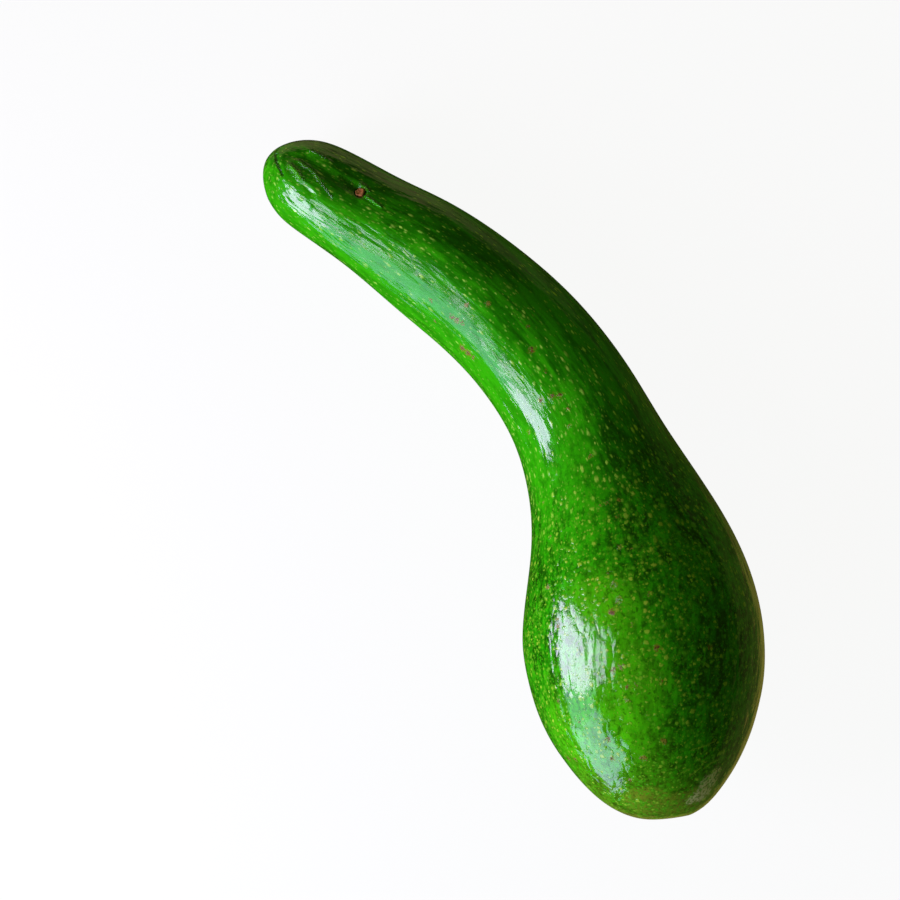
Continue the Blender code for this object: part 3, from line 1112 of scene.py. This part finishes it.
    def _angles(self) -> Array:
        """Angles of the sides.

        Returns:
            Angles from underneath and once round, closer together at the stem.
        """
        fine = self.first_angle + np.linspace(0, 2 * math.pi, 4000)
        from_stem = angle_between((fine[1:] + fine[:-1]) / 2, self.form.stem_angle)
        return spread(fine, 1 + self.stem_side_finer * bell(from_stem, self.stem_side_reach), self.sides + 1)

    def _grown(self, places: Array, angles: Array) -> Array:
        """Grown coordinates of points of the broad form."""
        reach = self.form.core.half_width(places) + self.form.relief(places, angles)
        return np.stack([reach * np.cos(angles), reach * np.sin(angles), places], axis=-1) / MM

    def _drawn(self, grown: Array) -> Array:
        """Shortens coordinates along the neck, so that round cells come out long there.

        Args:
            grown: grown coordinates.

        Returns:
            The same with the third one shortened.
        """
        fine = np.linspace(0, self.form.core.length / MM, 2000)
        shortness = 1 - self.neck_shorter * smooth_step(fine, *self.neck_span)
        along = np.concatenate([[0.0], np.cumsum(shortness[1:] * np.diff(fine))])
        drawn = grown.copy()
        drawn[:, 2] = np.interp(grown[:, 2], fine, along)
        return drawn

    def _faces(self) -> tuple[list[Face], Array]:
        """Joins the rings, counted from 1, and the ends, which are 0 and one past the last ring.

        Returns:
            The vertices of each face, and the side and ring of each of its corners in turn.
        """
        sides, rings = self.sides, self.rings
        ends = {0: sides * rings, rings + 1: sides * rings + 1}
        faces, corners = [], []
        for ring in range(rings + 1):
            above = ring + 1
            for side in range(sides):
                turn = [(side, ring), (side + 1, ring)] if ring else [(side + 0.5, ring)]
                turn += [(side + 1, above), (side, above)] if ring < rings else [(side + 0.5, above)]
                faces.append(tuple(ends.get(r, (r - 1) * sides + int(s) % sides) for s, r in turn))
                corners += turn
        return faces, np.array(corners)

    def _lay_flat(self, mesh: bpy.types.Mesh, corners: Array, places: Array) -> None:
        """Gives the mesh its flat layout, with even spacing along the skin.

        Args:
            mesh: the mesh of the skin.
            corners: side and ring of each corner of its faces.
            places: places of the rings and both ends.
        """
        widths = self.form.core.half_width(places)
        reached = np.concatenate([[0.0], np.cumsum(np.hypot(np.diff(places), np.diff(widths)))])
        turn = (self._angles() - self.first_angle) / (2 * math.pi)
        across = np.interp(corners[:, 0], np.arange(self.sides + 1), turn)
        up = reached[corners[:, 1].astype(int)] / reached[-1]
        layer = mesh.uv_layers.new(name="OFBake")
        layer.data.foreach_set("uv", (np.stack([across, up], axis=1) * 0.998 + 0.001).ravel())

    def build(self, to_rest: Matrix) -> bpy.types.Object:
        """Makes the skin as it lies, without its finish.

        Args:
            to_rest: the move to how the fruit lies.

        Returns:
            The skin.
        """
        places = self._places()
        ring_places, ring_angles = np.meshgrid(places[1:-1], self._angles()[:-1], indexing="ij")
        ring_places, ring_angles = ring_places.ravel(), ring_angles.ravel()
        grown = self._grown(ring_places, ring_angles)
        extra = self.relief.heights(self.form, ring_places, ring_angles, grown)
        points = self.form.points(ring_places, ring_angles, extra)
        points = np.concatenate([points, self.form.core.points(places[[0, -1]])])
        points = points @ np.array(to_rest.to_3x3()).T + np.array(to_rest.translation)
        points[:, 2] = self.form.pressed(points[:, 2])
        grown = np.concatenate([grown, [[0.0, 0.0, 0.0], [0.0, 0.0, places[-1] / MM]]])
        faces, corners = self._faces()
        skin = new_piece("avocado_skin", points.tolist(), faces)
        carry(skin, "grown", grown)
        carry(skin, "drawn", self._drawn(grown))
        self._lay_flat(skin.data, corners, places)
        return skin

    def marks(self, skin: bpy.types.Object, camera: PhotoCamera, to_rest: Matrix) -> list[Mark]:
        """Places every mark on the skin.

        Args:
            skin: the skin as it lies.
            camera: the camera whose pixels place the marks that the photo shows.
            to_rest: the move to how the fruit lies.

        Returns:
            The marks, those of the unseen sides and the scar of the flower included.
        """
        mesh = skin.data
        vertices = [vertex.co.copy() for vertex in mesh.vertices]
        tree = BVHTree.FromPolygons(vertices, [tuple(face.vertices) for face in mesh.polygons])
        grown = mesh.attributes["grown"].data

        def under(pixel: Pixel) -> Point:
            """Where a pixel of the photo meets the skin.

            Args:
                pixel: the pixel.

            Returns:
                Its grown coordinates.
            """
            hit, _, index, _ = tree.ray_cast(camera.place(to_rest), camera.ray(pixel))
            if hit is None:
                raise ValueError(f"pixel {pixel} misses the skin")
            corners = list(mesh.polygons[index].vertices)
            weights = poly_3d_calc([vertices[corner] for corner in corners], hit)
            parts = [grown[corner].vector * weight for corner, weight in zip(corners, weights)]
            return tuple(sum(parts, Vector((0, 0, 0))))

        marks = [Mark(Blemish.RUST, (0.0, 0.0, 0.0), (0.0, 0.0, 0.0), self.scar_radius)]
        for kind, radius, pixels in self.spots:
            marks += [Mark(kind, place, place, radius) for place in map(under, pixels)]
        for kind, radius, pixels in self.lines:
            ends = [under(pixel) for pixel in pixels]
            marks += [Mark(kind, start, end, radius) for start, end in zip(ends, ends[1:])]
        for kind, radius, (from_tip, angle) in self.unseen_spots:
            place = np.array([self.form.core.length - from_tip * MM])
            middle = tuple(self._grown(place, np.array([math.radians(angle)]))[0])
            marks.append(Mark(kind, middle, middle, radius))
        return marks

    def dress(self, skin: bpy.types.Object, marks: Sequence[Mark]) -> None:
        """Gives the skin its finish and its place in the model.

        Args:
            skin: the skin.
            marks: the marks on it.
        """
        skin.data.materials.append(self.finish.material(marks))
        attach(skin, "root")
        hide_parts("avocado")


@dataclass
class StemStub:
    """The dry stub of the stem, in its pit on the upper side of the neck."""

    form: FruitForm
    finish: StubFinish = field(default_factory=StubFinish)
    radius: float = STEM_RADIUS
    height: float = 0.0022
    sunk: float = 0.0016
    lean: float = math.radians(22)
    sides: int = 40
    levels: int = 14
    top_rings: int = 8
    top_hollow: float = 0.00028
    raggedness: float = 0.16
    splinters: float = 0.00035

    def _profile(self) -> list[Pair]:
        """Lays out the stub from its buried foot to the broken top.

        Returns:
            The radius and height of each ring.
        """
        rows = []
        for level in range(self.levels + 1):
            part = level / self.levels
            rounding = max(0.0, part - 0.82) / 0.18
            flare = 0.96 + 0.22 * part**2 - 0.26 * rounding**2
            rows.append((self.radius * flare, self.height * part - self.sunk))
        top_radius, top = rows[-1]
        for ring in range(1, self.top_rings):
            part = 1 - ring / self.top_rings
            rows.append((top_radius * part, top - self.top_hollow * (1 - part**3)))
        return rows

    def build(self, to_rest: Matrix) -> bpy.types.Object:
        """Makes the stub as it lies, without its finish.

        Args:
            to_rest: the move to how the fruit lies.

        Returns:
            The stub.
        """
        rows = self._profile()
        points = []
        for radius, height in rows:
            for side in range(self.sides):
                angle = side * 2 * math.pi / self.sides
                way = Vector((math.cos(angle), math.sin(angle), 0.0))
                ragged = noise.noise(way * 1.7 + Vector((0, 0, height / MM * 0.5)))
                broken = noise.noise(way * radius / MM * 1.6 + Vector((3.0, 7.0, 1.0)))
                rim = max(0.0, height / self.height)
                reach = radius * (1 + self.raggedness * (ragged - 0.35))
                points.append(way * reach + Vector((0, 0, height + self.splinters * broken * rim)))
        points += [Vector((0, 0, rows[-1][1])), Vector((0, 0, rows[0][1]))]
        foot = len(points) - 1
        faces = ring_faces(self.sides, len(rows))
        faces += [(foot, (side + 1) % self.sides, side) for side in range(self.sides)]
        axes = self.form.stem_axes(to_rest, self.lean)
        stub = new_piece("stem_stub_wood", [axes @ point for point in points], faces)
        carry(stub, "stem", np.array(points) / MM)
        return stub

    def dress(self, stub: bpy.types.Object) -> None:
        """Gives the stub its finish and its place in the model.

        Args:
            stub: the stub.
        """
        stub.data.materials.append(self.finish.material())
        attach(stub, "root")
        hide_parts("stem_stub")


@dataclass(frozen=True)
class Pane:
    """One bright part of the window: azimuths and elevations in degrees, from the middle of the bulb."""

    name: str
    azimuths: Pair
    elevations: Pair
    radiance: float
    tint: Colour

    def make(self, camera: PhotoCamera, bulb: Vector, distance: float) -> None:
        """Adds the light.

        Args:
            camera: the camera, whose photo the azimuths are counted in.
            bulb: the middle of the bulb.
            distance: how far from it the window is.
        """
        width = 2 * distance * math.tan(math.radians(self.azimuths[1] - self.azimuths[0]) / 2)
        low, high = (distance * math.tan(math.radians(angle)) for angle in self.elevations)
        light = bpy.data.lights.new(self.name, "AREA")
        light.shape = "RECTANGLE"
        light.size = width
        light.size_y = high - low
        light.energy = self.radiance * math.pi * width * (high - low)
        light.color = self.tint
        obj = new_object(self.name, light)
        way = camera.direction(sum(self.azimuths) / 2)
        obj.location = bulb + way * distance + Vector((0, 0, (low + high) / 2))
        obj.rotation_euler = (-way).to_track_quat("-Z", "Y").to_euler()
        obj.visible_camera = False


@dataclass(frozen=True)
class Glow:
    """Light that the table throws back: its azimuth in degrees, where it sets in, and its colour.

    Lower is a span of heights and nearer one of distances towards the azimuth, on a sphere of radius 1.
    """

    azimuth: float
    lower: Pair
    nearer: Pair
    tint: Colour


@dataclass
class Studio:
    """The pale surface with its backdrop, the window, and the dim room round it."""

    camera: PhotoCamera
    finish: FloorFinish = field(default_factory=FloorFinish)
    panes: tuple[Pane, ...] = (
        Pane("window_main_pane", (170.0, 194.5), (-2.0, 30.0), 15.5, (0.77, 0.66, 1.0)),
        Pane("window_top_pane", (170.0, 194.5), (36.0, 45.0), 10.0, (0.77, 0.66, 1.0)),
        Pane("window_dim_pane", (195.0, 210.0), (-2.0, 31.0), 3.6, (0.46, 0.74, 0.92)),
        Pane("window_side_pane", (210.5, 247.0), (-9.0, 32.0), 6.0, (0.56, 0.68, 1.0)),
    )
    window_distance: float = 0.5
    flat_radius: float = 1.5
    cove_radius: float = 0.5
    wall_height: float = 2.4
    floor_sides: int = 96
    floor_drop: float = 0.0003
    room_above: Colour = (0.052, 0.078, 0.008)
    room_below: Colour = (0.030, 0.040, 0.006)
    horizon: Pair = (0.04, -0.04)
    glows: tuple[Glow, ...] = (
        Glow(-15.0, (0.02, -0.20), (0.35, 0.85), (0.14, 0.17, 0.035)),
        Glow(100.0, (0.02, -0.20), (0.45, 1.0), (0.56, 0.48, 0.20)),
        Glow(-45.0, (-0.66, -0.80), (0.10, 0.40), (0.31, 0.26, 0.050)),
    )

    def build_floor(self) -> None:
        """Makes the surface, which curves up into a wall all round, from the wall's edge inwards."""
        profile = [(self.flat_radius + self.cove_radius, self.wall_height)]
        for step in range(12, 0, -1):
            turn = step / 12 * math.pi / 2
            reach = self.flat_radius + self.cove_radius * math.sin(turn)
            profile.append((reach, self.cove_radius * (1 - math.cos(turn))))
        profile += [(self.flat_radius * part / 6, 0.0) for part in range(6, 0, -1)]
        points = []
        for radius, height in profile:
            for side in range(self.floor_sides):
                angle = side * 2 * math.pi / self.floor_sides
                points.append((radius * math.cos(angle), radius * math.sin(angle), height - self.floor_drop))
        points.append((0.0, 0.0, -self.floor_drop))
        obj = new_piece("pale_surface", points, ring_faces(self.floor_sides, len(profile)))
        obj.visible_diffuse = False
        obj.visible_glossy = False
        obj.visible_transmission = False
        obj.visible_shadow = False
        obj.data.materials.append(self.finish.material())

    def light(self, to_rest: Matrix) -> None:
        """Adds the panes of the window and the dim light of the room round the fruit.

        Args:
            to_rest: the move to how the fruit lies.
        """
        for pane in self.panes:
            pane.make(self.camera, to_rest.translation, self.window_distance)
            LOG.info("light: %s", pane.name)
        world = bpy.data.worlds.new("dim_room")
        world.use_nodes = True
        bpy.context.scene.world = world
        nodes = Nodes(world.node_tree)
        way = nodes.node("ShaderNodeTexCoord")
        _, _, up = nodes.split(way)
        colour = nodes.blend(up.rise(*self.horizon), self.room_above, self.room_below)
        for glow in self.glows:
            near = nodes.along(way, self.camera.direction(glow.azimuth)).rise(*glow.nearer)
            colour = nodes.blend(up.rise(*glow.lower) * near, colour, glow.tint)
        shader = nodes.node("ShaderNodeBackground", None, {"Color": colour, "Strength": 1.0})
        nodes.node("ShaderNodeOutputWorld", None, {"Surface": shader})


def main() -> None:
    """Builds the avocado and its surroundings."""
    logging.basicConfig(level=logging.INFO, format="%(message)s")
    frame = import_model()
    LOG.info("frame nodes: %s", ", ".join(sorted(frame["nodes"])))
    bpy.context.scene.view_settings.view_transform = "Standard"

    form = FruitForm()
    to_rest = form.to_rest()
    camera = PhotoCamera()
    camera.make(to_rest)

    fruit = Fruit(form)
    skin = fruit.build(to_rest)
    fruit.dress(skin, fruit.marks(skin, camera, to_rest))
    LOG.info("skin: %d faces", len(skin.data.polygons))

    stem = StemStub(form)
    stub = stem.build(to_rest)
    stem.dress(stub)
    LOG.info("stem stub: %d faces", len(stub.data.polygons))

    studio = Studio(camera)
    studio.build_floor()
    studio.light(to_rest)


if __name__ == "__main__":
    main()
